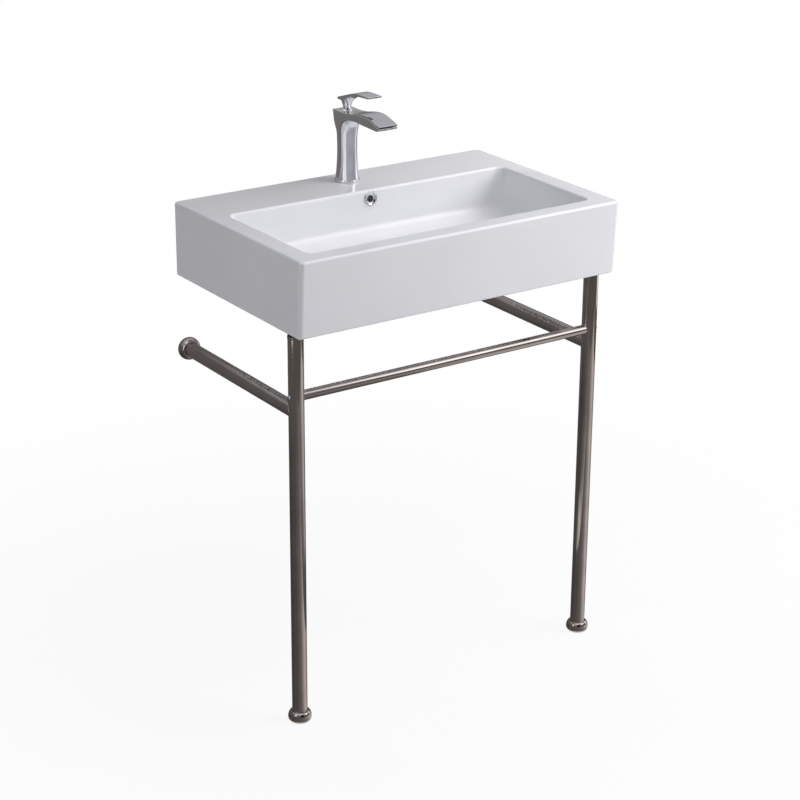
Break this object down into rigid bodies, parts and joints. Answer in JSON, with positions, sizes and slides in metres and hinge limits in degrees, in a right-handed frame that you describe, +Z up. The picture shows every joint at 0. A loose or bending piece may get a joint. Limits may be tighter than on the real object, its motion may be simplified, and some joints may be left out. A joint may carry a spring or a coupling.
{
  "type": "console wash basin",
  "caption": "Rectangular china wash basin hung on the wall and propped on tubular steel brackets with a towel rail, with a lever mixer tap, an overflow and a click waste.",
  "frame": {"origin": "on the floor, under the middle of the basin's plan", "axes": "+Z up, +Y towards the wall, +X to the right of someone who stands in front of the basin"},
  "size_m": [0.685, 0.436, 1.062],
  "materials": {
    "glazed_china": "glossy white glaze",
    "chrome": "polished chrome plate",
    "stainless": "mirror-polished stainless steel",
    "spring_steel": "plain bright steel",
    "brass": "plain machined brass",
    "rubber": "matt black",
    "white_rubber": "matt white",
    "white_plastic": "moulded, matt",
    "grey_plastic": "moulded, matt",
    "disc_ceramic": "lapped alumina"
  },
  "bodies": {
    "frame": {"basin": "glazed_china", "overflow_ring": "chrome", "waste_body": "chrome", "waste_gasket": "white_rubber", "waste_washer": "rubber", "waste_nut": "white_plastic", "tailpiece": "chrome", "click_housing": "brass", "click_spring": "spring_steel", "tap_body": "chrome", "spout_plate": "chrome", "tap_base_ring": "chrome", "tap_base_seal": "rubber", "inlet_tails": "brass", "cartridge_housing": "grey_plastic", "port_seals": "rubber", "fixed_disc": "disc_ceramic", "bonnet_nut": "brass", "aerator_housing": "chrome", "aerator_insert": "white_plastic", "aerator_seal": "rubber", "fixing_stud": "spring_steel", "fixing_gasket": "rubber", "fixing_plate": "spring_steel", "fixing_nut": "brass", "leg_left": "stainless", "leg_right": "stainless", "leg_top_plugs": "stainless", "leg_foot_plugs": "grey_plastic", "support_plates": "stainless", "support_pads": "rubber", "floor_flange_left": "stainless", "floor_flange_right": "stainless", "side_bar_left": "stainless", "side_bar_right": "stainless", "bar_end_plugs": "stainless", "wall_flange_left": "stainless", "wall_flange_right": "stainless", "flange_set_screws": "spring_steel", "front_rail": "stainless", "rail_inserts": "stainless", "rail_screws": "spring_steel"},
    "turner": {"rotor": "grey_plastic", "pivot_pin": "spring_steel"},
    "lever_arm": {"stem": "brass", "lever_dome": "chrome", "lever": "chrome", "lever_screw": "spring_steel"},
    "disc_slider": {"moving_disc": "disc_ceramic", "disc_carrier": "grey_plastic"},
    "stopper": {"click_plunger": "brass", "stopper_cap": "chrome", "stopper_seal": "rubber"}
  },
  "joints": [
    {"name": "lever_turn", "type": "hinge", "parent": "frame", "child": "turner", "pos_m": [0, 0.166, 1.0095], "axis": [0, 0, 1], "range_deg": [-45, 45]},
    {"name": "lever_lift", "type": "hinge", "parent": "turner", "child": "lever_arm", "pos_m": [0, 0.166, 1.0095], "axis": [-1, 0, 0], "range_deg": [0, 20]},
    {"name": "disc_slide", "type": "slide", "parent": "turner", "child": "disc_slider", "axis": [0, -1, 0], "range_m": [0, 0.0058]},
    {"name": "stopper_press", "type": "slide", "parent": "frame", "child": "stopper", "axis": [0, 0, -1], "range_m": [0, 0.0076], "stiffness_N_per_m": 300, "springref_m": -0.01, "deforming": ["click_spring"]}
  ],
  "couplings": [
    {"joint": "disc_slide", "follows": "lever_lift", "m_per_rad": 0.01605}
  ]
}
